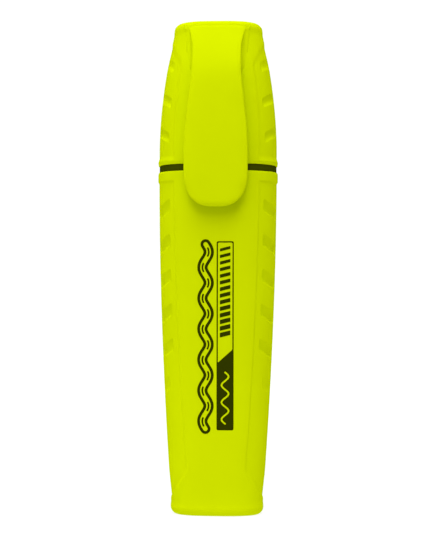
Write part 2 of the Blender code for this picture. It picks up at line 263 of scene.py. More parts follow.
def end_profile(distance, side_radius=CAP_SIDE_RADIUS):
    """(inset in x, inset in y) of the outline at a distance from an end plane: its rounded edge."""
    def inset(radius_along, radius_in):
        share = np.clip(distance / radius_along, 0.0, 1.0)
        return radius_in * (1.0 - np.sqrt(np.clip(1.0 - (1.0 - share) ** 2, 0.0, 1.0)))
    return inset(min(side_radius, END_RADIUS), side_radius), inset(END_RADIUS, END_RADIUS)


def notch_relief(row_z, inward, off_side, notches):
    """Depth of the grip notches: each slopes in from its upper edge and ends on a sharp ledge.

    row_z is height with the slant taken out, inward the distance from the side line along X, and off_side
    the distance from the mid-plane, near which the two halves of the mould leave a plain ridge.
    """
    depth = np.zeros(np.broadcast(row_z, inward).shape)
    for low, height, width, deep in notches:
        from_inner = width - inward
        from_top = low + height - row_z
        round_off = np.hypot(np.clip(NOTCH_ROUNDING - from_inner, 0.0, None),
                             np.clip(NOTCH_ROUNDING - from_top, 0.0, None))
        inside = np.clip((NOTCH_ROUNDING - round_off) / NOTCH_WALL, 0.0, 1.0)
        slope = np.clip(from_top / (NOTCH_SLOPE * height), 0.0, 1.0)
        fall = 1.0 - (1.0 - slope) ** 2
        ledge = ramp(row_z, low, NOTCH_LEDGE)
        ridge = ramp(off_side, RIDGE_HALF, RIDGE_RUN)
        cut = np.minimum(smooth(inside), fall) * ledge * smooth(from_inner / NOTCH_WALL) * ridge
        depth = np.maximum(depth, deep * cut)
    return depth


def panel_relief(x, z, half_width, panel):
    """Depth of the side panels: a soft step at the inner edge, a bead at the joint, a crease at the end."""
    inner = half_width - panel["width"](z)
    step = smooth((np.abs(x) - inner) / panel["edge_run"])
    off_joint = smooth(panel["sign"] * (panel["joint_z"] - z) / panel["joint_run"])
    end_line = panel["end_z"] + panel["sign"] * (half_width - np.abs(x)) * CREASE_SLOPE
    past_end = smooth(panel["sign"] * (z - end_line) / panel["end_run"])
    return PANEL_DEPTH * step * off_joint * past_end


def moulded_rows(rows, panel, notches, slant, shear_window):
    """Outer surface rows: [row, point, xyz] in millimetres, slanted where the window says so."""
    angles = shell_angles()
    unit_x, unit_y = superellipse(angles)
    rows = np.asarray(rows, float)[:, None]
    half = body_half(rows)
    notch_width = notches[0][2]
    reach = np.clip(np.abs(unit_x) * half[0] - (half[0] - notch_width), 0.0, None)
    z = rows + slant * reach * shear_window(rows)
    half_width, half_depth = body_half(z)
    grow = panel["grow"](z)
    inset_x, inset_y = end_profile(np.where(panel["sign"] > 0, z, LENGTH - z), panel["side_radius"])
    x = unit_x * (half_width + grow + panel["flare"](z) - inset_x)
    y = unit_y * (half_depth + grow - inset_y)
    relief = panel_relief(x, z, half_width, panel)
    relief = relief + notch_relief(rows, half_width - np.abs(unit_x) * half_width, np.abs(y), notches)
    normal_x = BODY_POWERS[0] * np.sign(unit_x) * np.abs(unit_x) ** (BODY_POWERS[0] - 1.0) / half_width
    normal_y = BODY_POWERS[1] * np.sign(unit_y) * np.abs(unit_y) ** (BODY_POWERS[1] - 1.0) / half_depth
    size = np.hypot(normal_x, normal_y)
    x = x - relief * normal_x / size
    y = y - relief * normal_y / size
    return np.stack((x, y, np.broadcast_to(z, x.shape)), axis=-1)


def plain_row(z, grow):
    """The body's outline at a height, grown by a distance and without relief."""
    angles = shell_angles()
    unit_x, unit_y = superellipse(angles)
    half_width, half_depth = body_half(z)
    x = unit_x * (half_width + grow)
    y = unit_y * (half_depth + grow)
    return np.stack((x, y, np.full(angles.shape, z)), axis=-1)


def rows_between(stops):
    """Row heights from (height, spacing after it) stops."""
    rows = []
    for (low, spacing), (high, _) in zip(stops, stops[1:]):
        steps = max(1, round(abs(high - low) / spacing))
        rows += list(np.linspace(low, high, steps, endpoint=False))
    return rows + [stops[-1][0]]


def notch_rows(notches, low, high):
    """Rows between two heights, close together at every notch's ledge and upper edge."""
    wide, medium, upper_edge, ledge = 0.6, 0.35, 0.11, 0.09
    stops = [(low, wide)]
    for base, height, _, _ in sorted(notches):
        top = base + height
        stops += [(base - 0.1, ledge), (base + 0.4, medium), (top - 0.6, upper_edge), (top + 0.1, wide)]
    stops.append((high, wide))
    return rows_between(stops)


def rounding_rows():
    """Distances from an end face to the rows over its rounded edge."""
    return [END_RADIUS * (1.0 - math.cos(step / 8.0 * math.pi / 2.0)) for step in range(1, 8)]


def shrunk(ring, share, z):
    """A ring drawn in towards the pen's axis, at another height."""
    smaller = ring.copy()
    smaller[:, :2] *= share
    smaller[:, 2] = z
    return smaller


def barrel():
    """Barrel moulding: closed rounded tail, foot bead, side panels, slanted notches, collar, open rim."""
    notched_low, notched_high = 28.0, 75.0
    notches = notch_places(BARREL_NOTCHES)
    panel = {
        "sign": 1.0,
        "joint_z": 77.7,
        "joint_run": 0.7,
        "edge_run": 0.55,
        "end_run": 0.9,
        "end_z": 3.6,
        "width": lambda z: 4.15 + 0.5 * (BARREL_WIDE_Z - z) / 60.0,
        "side_radius": TAIL_SIDE_RADIUS,
        "grow": lambda z: PANEL_DEPTH * ramp(z, 2.5, 9.0) - RIM_TURN * ramp(z, 79.2, 0.7),
        "flare": lambda z: 0.14 * bump(z, 1.9, 1.5),
    }

    def window(z):
        """How much the rows slant at a height."""
        return ramp(z, 77.2, -3.6) * ramp(z, 12.0, 15.0)

    rows = rounding_rows()
    rows += rows_between([(END_RADIUS, 0.22), (4.0, 0.4), (notched_low, 0.4)])[:-1]
    rows += notch_rows(notches, notched_low, notched_high)[:-1]
    rows += rows_between([(notched_high, 0.3), (76.2, 0.1), (77.8, 0.3), (79.0, 0.1), (BARREL_RIM_Z, 0.1)])
    outer = moulded_rows(rows, panel, notches, -NOTCH_SLANT, window)
    foot = [shrunk(outer[0], share, 0.0) for share in (0.55, 0.8, 0.93)]
    inside = [plain_row(z, -WALL) for z in (BARREL_RIM_Z, *WALL_ROWS, END_WALL)]
    item = skin("barrel", np.concatenate((foot, outer, inside)))
    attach(item, "barrel")
    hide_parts("barrel_shell")
    return item


def cap():
    """Cap moulding: a bead round the lip, side panels with notches, a rounded closed top, hollow inside."""
    notched_low, notched_high = 85.0, 108.0
    notches = notch_places(CAP_NOTCHES)
    panel = {
        "sign": -1.0,
        "joint_z": 82.0,
        "joint_run": 1.3,
        "edge_run": 0.9,
        "end_run": 1.8,
        "end_z": 110.6,
        "width": lambda z: 4.3 - 0.4 * np.clip((z - 84.0) / 26.0, 0.0, 1.0),
        "side_radius": CAP_SIDE_RADIUS,
        "grow": lambda z: PANEL_DEPTH * ramp(z, 112.2, -9.0) - LIP_TURN * ramp(z, 82.1, -0.7),
        "flare": lambda z: 0.05 * bump(z, 112.6, 1.4),
    }

    def window(z):
        """How much the rows slant at a height."""
        return ramp(z, 84.2, 1.6) * ramp(z, 112.5, -8.0)

    rows = rows_between([(CAP_LIP_Z, 0.1), (83.8, 0.3), (notched_low, 0.3)])[:-1]
    rows += notch_rows(notches, notched_low, notched_high)[:-1]
    rows += rows_between([(notched_high, 0.4), (LENGTH - END_RADIUS, 0.3)])[:-1]
    rows += [LENGTH - distance for distance in reversed(rounding_rows())]
    outer = moulded_rows(rows, panel, notches, NOTCH_SLANT, window)
    crown = []
    for share in (0.93, 0.8, 0.6, 0.4, 0.2):
        bulge = END_CROWN * (1.0 - share ** 2)
        crown.append(shrunk(outer[-1], share, LENGTH - END_CROWN + bulge))
    inside = [plain_row(z, -WALL) for z in (LENGTH - END_WALL, *CAP_WALL_ROWS, CAP_LIP_Z)]
    item = skin("cap", np.concatenate((inside, outer, crown)))
    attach(item, "cap")
    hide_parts("cap_shell")
    return item


def ring_of(half, z, powers=BODY_POWERS, count=96):
    """A level superellipse ring from its half width and half depth."""
    angles = np.linspace(0.0, 2.0 * math.pi, count, endpoint=False)
    unit_x, unit_y = superellipse(angles, powers)
    return np.stack((unit_x * half[0], unit_y * half[1], np.full(count, float(z))), axis=-1)


# ---- the pocket clip ---------------------------------------------------------------------------

CLIP_TOP_Z = 114.72          # the last section, just inside the cap's end face
CLIP_HEAD_Z = LENGTH - 0.05  # its head is rounded off below this height
CLIP_END_RADIUS = 1.9
CLIP_FLARE_Z = CROWN_Z + 1.6
CLIP_FLARE = 1.25            # how much wider each side gets from the waist up to there
CLIP_WAIST_Z = 106.5
CLIP_WAIST_HALF = 5.6
CLIP_BELLY_Z = 84.0
CLIP_BELLY_HALF = 7.3
CLIP_TIP_CENTRE_Z = 80.0
CLIP_TIP_Z = 71.2
CLIP_TIP_POWER = 2.6         # outline of the tip: 2 would be an ellipse
CLIP_TIP_THINS = 1.6         # over this length the tip thins out to a rounded end
CLIP_TIP_ROUND = 2.5         # and this is how full that rounding is
CLIP_LEAST_HALF = 0.02       # half its thickness at the very tip
CLIP_FRONT_Y = -CLIP_LOW.y
CLIP_THICKNESS = 1.8
CLIP_ARCH = 2.1              # how far its face curves back evenly from the tip centre to CLIP_ARCH_Z
CLIP_ARCH_Z = 113.2
CLIP_BEND_Z = 102.8          # above a soft bend here it leans back by this slope as well
CLIP_BEND_SOFT = 3.5
CLIP_BEND = 0.375
CLIP_SEAT_GAP = 0.35         # least gap between its back and the body
CLIP_SEATED_Z = 104.0        # its back follows the body above this height
CLIP_SEATED_RUN = 8.0
CLIP_BUMP_Z = 75.2           # the bump that grips a pocket's edge
CLIP_BUMP_HALF = 2.4
CLIP_BUMP_HEIGHT = 1.0
CLIP_EDGE = 0.7              # rounding of the face's edges, less of it at the head
CLIP_HEAD_LOW_Z = 108.5      # from here up its face takes on the cap's curve
CLIP_HEAD_RUN = 5.5
CLIP_POWERS = (4.0, 4.0)
WEB_END_Z = 100.5            # below this height the clip is free of the cap
WEB_START_Z = 105.0
WEB_FILLET = 1.5             # concave fillet between the root's sides and the cap
WEB_FILLET_RUN = 4.0
WEB_SUNK = 0.4               # how far the root reaches into the cap
CAP_SKIN = 0.2               # how far the cap's front stands above the panels' level at the clip


def clip_half_width(z):
    """Half width of the clip, narrowest at the waist and rounded off at the tip."""
    if z > CLIP_WAIST_Z:
        share = (z - CLIP_WAIST_Z) / (CLIP_FLARE_Z - CLIP_WAIST_Z)
        return CLIP_WAIST_HALF + CLIP_FLARE * share ** 2
    spread = smooth((CLIP_WAIST_Z - z) / (CLIP_WAIST_Z - CLIP_BELLY_Z))
    width = CLIP_WAIST_HALF + (CLIP_BELLY_HALF - CLIP_WAIST_HALF) * spread
    if z < CLIP_TIP_CENTRE_Z:
        share = (CLIP_TIP_CENTRE_Z - z) / (CLIP_TIP_CENTRE_Z - CLIP_TIP_Z)
        width *= max(1.0 - share ** CLIP_TIP_POWER, 0.0) ** (1.0 / CLIP_TIP_POWER)
    return width


def clip_front(z):
    """Distance of the clip's front face from the mid-plane."""
    rise = max(z - CLIP_TIP_CENTRE_Z, 0.0) / (CLIP_ARCH_Z - CLIP_TIP_CENTRE_Z)
    above = z - CLIP_BEND_Z
    bend = (above + math.hypot(above, CLIP_BEND_SOFT)) / 2.0
    return CLIP_FRONT_Y - CLIP_ARCH * rise ** 2 - CLIP_BEND * bend


def clip_back(z):
    """Distance of the free length's back face, with the bump that grips a pocket's edge."""
    seat = float(body_half(z)[1]) + CLIP_SEAT_GAP
    free = float(ramp(z, CLIP_SEATED_Z, -CLIP_SEATED_RUN))
    back = clip_front(z) - CLIP_THICKNESS
    grip = CLIP_BUMP_HEIGHT * float(bump(z, CLIP_BUMP_Z, CLIP_BUMP_HALF))
    return seat + (max(back, seat) - seat) * free - grip


def cap_surface(x, z):
    """Distance of the cap's outer surface from the mid-plane, at x."""
    half_width, half_depth = (float(value) for value in body_half(z))
    inset_x, inset_y = (float(value) for value in end_profile(LENGTH - z))
    share = np.clip(np.abs(x) / (half_width - inset_x), 0.0, 1.0)
    depth = (1.0 - share ** BODY_POWERS[0]) ** (1.0 / BODY_POWERS[1])
    return (half_depth + CAP_SKIN - inset_y) * depth


def clip_ring(z):
    """One section of the clip: rounded and free at the bottom, standing on a filleted web at the root."""
    half_width, front, back = clip_half_width(z), clip_front(z), clip_back(z)
    tip = min(1.0, max(0.0, (z - CLIP_TIP_Z) / CLIP_TIP_THINS))
    fullness = (1.0 - (1.0 - tip) ** CLIP_TIP_ROUND) ** (1.0 / CLIP_TIP_ROUND)
    half_thickness = max((front - back) / 2.0 * fullness, CLIP_LEAST_HALF)
    face_x, face_y = superellipse(np.linspace(math.pi / 2.0, 0.0, 20), CLIP_POWERS)
    under_x, under_y = superellipse(np.linspace(0.0, -math.pi / 2.0, 20)[1:], CLIP_POWERS)
    free_x = np.concatenate((face_x, under_x)) * half_width
    free_y = (front + back) / 2.0 + np.concatenate((face_y, under_y)) * half_thickness

    top = float(ramp(z, CLIP_HEAD_LOW_Z, CLIP_HEAD_RUN))
    seat = cap_surface(0.0, z)
    end = min(1.0, (CLIP_HEAD_Z - z) / CLIP_END_RADIUS)
    crown = front - CLIP_END_RADIUS * (1.0 - math.sqrt(1.0 - (1.0 - end) ** 2))
    face_width = face_x * half_width
    sag = (seat - cap_surface(face_width, z)) * top
    drop = CLIP_EDGE * (1.0 - face_y) * (1.0 - 0.7 * top)
    root_face = crown - sag - drop
    start = root_face[-1]
    fillet = WEB_FILLET * float(ramp(z, WEB_END_Z, WEB_FILLET_RUN)) * (1.0 - 0.4 * top)
    corner = min(float(cap_surface(half_width, z)), start)
    foot = min(float(cap_surface(half_width + fillet, z)), corner)
    share = np.linspace(0.0, 1.0, 12)[1:]
    web_x = half_width + fillet * share ** 2
    web_y = start * (1.0 - share) ** 2 + 2.0 * corner * share * (1.0 - share) + foot * share ** 2
    sunk_x = (half_width + fillet) * np.linspace(1.0, 0.0, len(under_x) - len(share))
    sunk_y = np.full(sunk_x.shape, foot - WEB_SUNK)
    root_x = np.concatenate((face_width, web_x, sunk_x))
    root_y = np.concatenate((root_face, web_y, sunk_y))
    root = float(ramp(z, WEB_END_Z, WEB_START_Z - WEB_END_Z))
    x = free_x + (root_x - free_x) * root
    y = free_y + (root_y - free_y) * root
    x = np.concatenate((x, -x[-2:0:-1]))
    y = np.concatenate((y, y[-2:0:-1]))
    return np.stack((x, -y, np.full(x.shape, z)), axis=-1)


def pocket_clip():
    """The clip, moulded in one piece with the cap; the real clip bends at its root."""
    start, tip_run, tip_rows = CLIP_TIP_Z + 0.02, 8.0, 24
    turns = [step / tip_rows * math.pi / 2.0 for step in range(tip_rows)]
    heights = [start + tip_run * (1.0 - math.cos(turn)) for turn in turns]
    heights += rows_between([(CLIP_TIP_Z + 8.02, 0.5), (99.0, 0.3), (CLIP_TOP_Z, 0.3)])
    item = skin("clip", [clip_ring(z) for z in heights])
    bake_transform(item)
    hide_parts("pocket_clip")
    return item


# ---- the dark front section, nib and inner cap ------------------------------------------------

def grown(half, by):
    """A half width and half depth, grown by a distance."""
    return half[0] + by, half[1] + by


def nib_holder():
    """The front section: plug, visible ring, spigot with a faint bead, shoulder, nose and hollow."""
    ring = (13.75, 8.98)
    spigot = (11.85, 7.05)
    plug = (12.05, 7.2)
    bore = (2.8, 2.2)
    hollow = (10.8, 5.9)
    edge, foot_radius, bead_height = 0.12, 0.2, 0.14
    nose_tip_z, hollow_top_z = 100.0, 88.4
    ring_rim = grown(ring, -edge)
    bead = grown(spigot, bead_height)
    steps = [
        (plug, HOLDER_LOW.z), (plug, RING_LOW_Z - 0.4), (plug, RING_LOW_Z),
        (ring_rim, RING_LOW_Z), (ring, RING_LOW_Z + edge),
        (ring, RING_HIGH_Z - edge), (ring_rim, RING_HIGH_Z),
        (grown(spigot, foot_radius), RING_HIGH_Z), (spigot, RING_HIGH_Z + foot_radius),
        (spigot, 84.6), (bead, 85.0), (bead, 85.5), (spigot, 85.9),
        (spigot, 89.4), (grown(spigot, -0.2), 89.85), (grown(spigot, -0.7), 90.0),
        ((6.2, 4.0), 91.0), ((5.3, 3.6), 91.4), ((5.0, 3.4), 92.0),
        ((3.95, 3.02), 99.6), ((3.75, 2.85), nose_tip_z),
        (bore, nose_tip_z), (bore, hollow_top_z), (hollow, hollow_top_z), (hollow, HOLDER_LOW.z),
    ]
    rings = [ring_of(half, z, count=160) for half, z in steps]
    item = skin("front_section", rings, loop=True, smooth_angle=30)
    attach(item, "barrel")
    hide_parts("nib_holder")
    return item


def nib():
    """The chisel nib: a fibre rod with a slanted end, ground to a wedge, its edges slightly worn round."""
    slant = math.tan(math.radians(28))
    wedge = math.tan(math.radians(16))
    half = ((NIB_HIGH.x - NIB_LOW.x) / 2.0, (NIB_HIGH.y - NIB_LOW.y) / 2.0)
    edge_half = 0.55
    worn = 0.3
    angles = np.linspace(0.0, 2.0 * math.pi, 64, endpoint=False)
    unit_x, unit_y = superellipse(angles, CLIP_POWERS)
    stretches = ((0.0, 0.8, 8), (0.82, 0.985, 18), (0.989, 1.0, 6))
    shares = np.concatenate([np.linspace(*stretch) for stretch in stretches])
    rings = []
    for share in shares:
        high = NIB_HIGH.z - (unit_x + 1.0) * half[0] * slant
        z = NIB_LOW.z + (high - NIB_LOW.z) * share
        left = np.clip((high - z) / worn, 0.0, 1.0)
        inset = worn * (1.0 - np.sqrt(1.0 - (1.0 - left) ** 2))
        depth = np.minimum(half[1], edge_half + (NIB_HIGH.z - z) * wedge)
        rings.append(np.stack((unit_x * (half[0] - inset), unit_y * (depth - inset), z), axis=-1))
    item = skin("nib", rings, smooth_angle=50)
    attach(item, "barrel")
    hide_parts("chisel_nib")
    return item


def inner_cap():
    """The soft sealing thimble inside the cap, with a rounded mouth and a thin seal bead outside."""
    half = ((INNER_CAP_HIGH.x - INNER_CAP_LOW.x) / 2.0, (INNER_CAP_HIGH.y - INNER_CAP_LOW.y) / 2.0)
    wall = 0.7
    low, high, ceiling = INNER_CAP_LOW.z, INNER_CAP_HIGH.z, 109.5
    outside = [(0.25, high), (0.06, high - 0.1), (0.0, high - 0.3), (0.0, low + 3.0), (0.12, low + 2.8)]
    outside += [(0.12, low + 0.3), (0.25, low + 0.06), (0.4, low)]
    inside = [(wall, low + 0.15), (wall, low + 0.4), (wall, ceiling - 0.6), (wall + 0.2, ceiling - 0.15)]
    inside += [(wall + 0.6, ceiling)]
    rings = [ring_of(grown(half, -inset), z, (3.0, 3.0)) for inset, z in outside + inside]
    item = skin("inner_cap_seal", rings, smooth_angle=50)
    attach(item, "cap")
    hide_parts("inner_cap")
    return item


# ---- the dark print on the barrel's front -------------------------------------------------------

PRINT_PROUD = 0.03
PRINT_SUNK = 0.02
PRINT_LINE = 0.2             # half width of the thin lines
PRINT_MERGE = 0.0005
# the film is cut at these X and at these Z, so that it follows the barrel's curves
PRINT_CUTS = (np.arange(-4.0, 4.5, 1.0), np.arange(21.0, 63.0, 3.0))


def wave(centre, low, high, amplitude, turns, count=240):
    """A wavy path down the barrel, as an array of (x, z)."""
    share = np.linspace(0.0, 1.0, count)
    x = centre + amplitude * np.sin(2.0 * math.pi * turns * share)
    return np.stack((x, high + (low - high) * share), axis=-1)


def around(path, half):
    """The closed outline of a stroke of this half width along a path, with round ends."""
    along = np.gradient(path, axis=0)
    along /= np.linalg.norm(along, axis=1)[:, None]
    across = np.stack((-along[:, 1], along[:, 0]), axis=-1) * half
    turn = np.linspace(0.0, math.pi, 10)[1:-1, None]
    end = path[-1] + across[-1] * np.cos(turn) + along[-1] * half * np.sin(turn)
    start = path[0] - across[0] * np.cos(turn) - along[0] * half * np.sin(turn)
    return np.concatenate((path + across, end, (path - across)[::-1], start))


def rounded(corners, radius):
    """A polygon with its corners rounded."""
    points = []
    share = np.linspace(0.0, 1.0, 6)[:, None]
    for index, corner in enumerate(np.asarray(corners, float)):
        before = corners[index - 1] - corner
        after = corners[(index + 1) % len(corners)] - corner
        start = corner + before / np.linalg.norm(before) * radius
        end = corner + after / np.linalg.norm(after) * radius
        points.append(start * (1 - share) ** 2 + 2 * corner * share * (1 - share) + end * share ** 2)
    return np.concatenate(points)


def barrel_front(x, z):
    """Distance of the barrel's front surface from the mid-plane, over the printed area."""
    half_width, half_depth = body_half(z)
    share = np.abs(x) / (half_width + PANEL_DEPTH)
    return (half_depth + PANEL_DEPTH) * (1.0 - share ** BODY_POWERS[0]) ** (1.0 / BODY_POWERS[1])


def printed(name, loops):
    """A film of ink: loops filled even-odd, cut into strips, laid on the barrel's front and thickened."""
    curve = bpy.data.curves.new(name, "CURVE")
    curve.dimensions = "2D"
    curve.fill_mode = "FRONT"
    for loop in loops:
        spline = curve.splines.new("POLY")
        spline.points.add(len(loop) - 1)
        for point, (x, z) in zip(spline.points, loop):
            point.co = (x, z, 0.0, 1.0)
        spline.use_cyclic_u = True
    drawn = bpy.data.objects.new(name, curve)
    bpy.context.scene.collection.objects.link(drawn)
    flat = bpy.data.meshes.new_from_object(drawn.evaluated_get(bpy.context.evaluated_depsgraph_get()))
    bpy.data.objects.remove(drawn)
    mesh = bmesh.new()
    mesh.from_mesh(flat)
    bmesh.ops.remove_doubles(mesh, verts=mesh.verts, dist=PRINT_MERGE)
    for axis, places in enumerate(PRINT_CUTS):
        for place in places:
            spot = (float(place) if axis == 0 else 0.0, float(place) if axis == 1 else 0.0, 0.0)
            normal = (1.0 - axis, float(axis), 0.0)
            geometry = mesh.verts[:] + mesh.edges[:] + mesh.faces[:]
            bmesh.ops.bisect_plane(mesh, geom=geometry, plane_co=spot, plane_no=normal, dist=PRINT_MERGE)
    for vert in mesh.verts:
        x, z = vert.co.x, vert.co.y
        vert.co = Vector((x, -float(barrel_front(x, z)) + PRINT_SUNK, z)) * MM
    raised = bmesh.ops.extrude_face_region(mesh, geom=mesh.faces[:])
    for vert in raised["geom"]:
        if isinstance(vert, bmesh.types.BMVert):
            vert.co.y -= (PRINT_PROUD + PRINT_SUNK) * MM
    bmesh.ops.recalc_face_normals(mesh, faces=mesh.faces)
    ink_mesh = bpy.data.meshes.new(name)
    mesh.to_mesh(ink_mesh)
    mesh.free()
    item = bpy.data.objects.new(name, ink_mesh)
    bpy.context.scene.collection.objects.link(item)
    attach(item, "barrel")
    return item


def print_wave():
    """Left column: a bold outlined wave with a dash in each bend, in the place of the maker's lettering."""
    turns, outer_half, inner_half = 6, 1.18, 0.52
    path = wave(centre=-2.35, low=20.4, high=62.7, amplitude=0.72, turns=turns)
    loops = [around(path, outer_half), around(path, inner_half)]
    bend = len(path) // (2 * turns)
    for start in range(0, 2 * turns):
        middle = start * bend + bend // 2
        loops.append(around(path[middle - bend // 4:middle + bend // 4 + 1], PRINT_LINE))
    return printed("print_wave", loops)


def print_scale():
    """Right column: a frame with bars from thin to thick, over a slanted solid block with a wave in it."""
    left, right, low, high, line = 0.2, 4.1, 20.1, 63.4, 0.28
    slant_low, slant_high = 35.6, 38.6
    block = ((left, low), (right, low), (right, high), (left, high))
    window = ((left + line, slant_low), (right - line, slant_high), (right - line, high - line),
              (left + line, high - line))
    loops = [rounded(np.array(block), 0.4), rounded(np.array(window), 0.3)]
    bars, pitch, first_drop, bar_left, bar_right, tilt = 14, 1.5, 1.7, 0.95, 3.35, 0.3
    thinnest, thickening = 0.34, 0.2
    for index in range(bars):
        middle = high - first_drop - index * pitch
        thick = thinnest + thickening * index / bars
        corners = ((bar_left, middle - thick - tilt), (bar_right, middle - thick + tilt),
                   (bar_right, middle + thick + tilt), (bar_left, middle + thick - tilt))
        loops.append(rounded(np.array(corners), 0.12))
    path = wave(centre=2.15, low=21.6, high=33.4, amplitude=0.8, turns=3, count=120)
    loops.append(around(path, PRINT_LINE))
    return printed("print_scale", loops)


# ---- materials ---------------------------------------------------------------------------------

# linear colours
FLUORESCENT = (0.574, 0.691, 0.0)
FLUORESCENT_WORN = (0.64, 0.76, 0.004)
DARK = (0.041, 0.051, 0.0005)
DARK_WORN = (0.07, 0.085, 0.006)
PRINT_INK = (0.027, 0.035, 0.0)
PRINT_WORN = (0.06, 0.075, 0.002)
NIB_FIBRE = (0.75, 0.86, 0.03)
NIB_SOAKED = (0.62, 0.78, 0.01)
INK_FIBRE = (0.62, 0.80, 0.02)
INK_SOAKED = (0.50, 0.70, 0.01)
CLEAR = (0.80, 0.85, 0.80)
MILKY = (0.8, 0.8, 0.76)
MILKY_WORN = (0.9, 0.9, 0.87)


def new_material(name, colour, roughness, **sockets):
    """A material with its values set on the shader's own sockets."""
    material = bpy.data.materials.new(name)
    material.use_nodes = True
    principled = material.node_tree.nodes["Principled BSDF"]
    principled.inputs["Base Color"].default_value = (*colour, 1.0)
    principled.inputs["Roughness"].default_value = roughness
    for label, value in sockets.items():
        principled.inputs[label.replace("_", " ")].default_value = value
    return material


class Surface:
    """Short ways to add texture nodes to a material, in the piece's own coordinates."""

    def __init__(self, material):
        self.nodes, self.links = material.node_tree.nodes, material.node_tree.links
        self.principled = self.nodes["Principled BSDF"]
        self.place = self.nodes.new("ShaderNodeTexCoord")

    def noise(self, cell, detail=3.0, stretch=(1.0, 1.0, 1.0)):
        """Noise whose blobs are about this many millimetres across, drawn out by stretch."""
        mapping = self.nodes.new("ShaderNodeMapping")
        mapping.inputs["Scale"].default_value = [1.0 / amount for amount in stretch]
        noise = self.nodes.new("ShaderNodeTexNoise")
        noise.inputs["Scale"].default_value = 1.0 / (cell * MM)
        noise.inputs["Detail"].default_value = detail
        self.links.new(self.place.outputs["Object"], mapping.inputs["Vector"])
        self.links.new(mapping.outputs["Vector"], noise.inputs["Vector"])
        return noise.outputs["Fac"]

    def spread(self, value, low, high, start=0.3, end=0.7):
        """The value brought from start..end to low..high."""
        node = self.nodes.new("ShaderNodeMapRange")
        for label, amount in (("From Min", start), ("From Max", end), ("To Min", low), ("To Max", high)):
            node.inputs[label].default_value = amount
        self.links.new(value, node.inputs["Value"])
        return node.outputs["Result"]

    def edges(self, most):
        """0 on flat places, up to most along convex edges."""
        geometry = self.nodes.new("ShaderNodeNewGeometry")
        return self.spread(geometry.outputs["Pointiness"], 0.0, most, start=0.6, end=0.75)

    def blend(self, share, first, second):
        """A colour between two, each a colour tuple or a socket."""
        node = self.nodes.new("ShaderNodeMix")
        node.data_type = "RGBA"
        self.links.new(share, node.inputs["Factor"])
        for socket, colour in (("A_Color", first), ("B_Color", second)):
            target = next(item for item in node.inputs if item.identifier == socket)
            if isinstance(colour, tuple):
                target.default_value = (*colour, 1.0)
            else:
                self.links.new(colour, target)
        return next(item for item in node.outputs if item.identifier == "Result_Color")

    def relief(self, heights):
        """Bump nodes, one after the other, from (height, strength, distance in millimetres)."""
        normal = None
        for height, strength, distance in heights:
            node = self.nodes.new("ShaderNodeBump")
            node.inputs["Strength"].default_value = strength
            node.inputs["Distance"].default_value = distance * MM
            self.links.new(height, node.inputs["Height"])
            if normal is not None:
                self.links.new(normal, node.inputs["Normal"])
            normal = node.outputs["Normal"]
        self.links.new(normal, self.principled.inputs["Normal"])

    def finish(self, colour, roughness):
        """Wire the colour and the roughness to the shader."""
        self.links.new(colour, self.principled.inputs["Base Color"])
        self.links.new(roughness, self.principled.inputs["Roughness"])


def shade(colour, factor):
    """A colour made darker or paler by a factor."""
    return tuple(min(1.0, channel * factor) for channel in colour)


def moulded(name, colour, roughness, worn):
    """Moulded plastic or the ink on it: cloudy tint, satin grain, faint drawn scuffs, paler worn edges."""
    material = new_material(name, colour, roughness, Specular_IOR_Level=0.0)
    surface = Surface(material)
    clouds = surface.noise(9.0)
    scuffs = surface.noise(0.7, 2.0, (1.0, 1.0, 14.0))
    cloudy = surface.blend(surface.spread(clouds, 0.0, 1.0), shade(colour, 0.985), shade(colour, 1.015))
    colour_out = surface.blend(surface.edges(0.35), cloudy, worn)
    roughness_out = surface.spread(scuffs, roughness - 0.05, roughness + 0.07)
    surface.relief(((surface.noise(0.16, 2.0), 0.25, 0.006), (surface.noise(2.2, 2.0), 0.12, 0.02)))
    surface.finish(colour_out, roughness_out)
    return material


def fibre(name, colour, soaked, strand, roughness):
    """Pressed fibre: strands drawn along the pen, darker between them, soaked unevenly with ink."""
    material = new_material(name, colour, roughness, Specular_IOR_Level=0.1)
    surface = Surface(material)
    strands = surface.noise(strand, 4.0, (1.0, 1.0, 12.0))
    patches = surface.noise(3.5, 3.0)
    threads = surface.blend(surface.spread(strands, 0.0, 1.0), shade(colour, 0.78), colour)
    colour_out = surface.blend(surface.spread(patches, 0.0, 0.7), threads, soaked)
    surface.relief(((strands, 0.7, 0.06), (surface.noise(strand / 2.0, 3.0), 0.4, 0.02)))
    surface.finish(colour_out, surface.spread(strands, roughness, roughness - 0.2))
    return material


def film(name, colour, roughness):
    """Thin clear film, slightly crinkled and cloudy."""
    material = new_material(name, colour, roughness, Transmission_Weight=0.8, IOR=1.49)
    surface = Surface(material)
    crinkles = surface.noise(1.8, 4.0, (1.0, 1.0, 3.0))
    colour_out = surface.blend(surface.spread(crinkles, 0.0, 1.0), shade(colour, 0.92), shade(colour, 1.05))
    surface.relief(((crinkles, 0.5, 0.08), (surface.noise(0.2, 2.0), 0.1, 0.01)))
    surface.finish(colour_out, surface.spread(surface.noise(4.0), roughness - 0.1, roughness + 0.15))
    return material


def soft_seal():
    """Natural polyethylene: milky, waxy, with faint turned lines and paler worn edges."""
    material = new_material("milky_seal", MILKY, 0.45, Subsurface_Weight=0.15, Subsurface_Scale=0.001)
    surface = Surface(material)
    lines = surface.noise(0.5, 2.0, (20.0, 20.0, 1.0))
    clouds = surface.spread(surface.noise(3.0), 0.0, 1.0)
    milky = surface.blend(clouds, shade(MILKY, 0.95), shade(MILKY, 1.04))
    colour_out = surface.blend(surface.edges(0.5), milky, MILKY_WORN)
    surface.relief(((lines, 0.2, 0.02), (surface.noise(0.15, 2.0), 0.2, 0.005)))
    surface.finish(colour_out, surface.spread(lines, 0.38, 0.52))
    return material


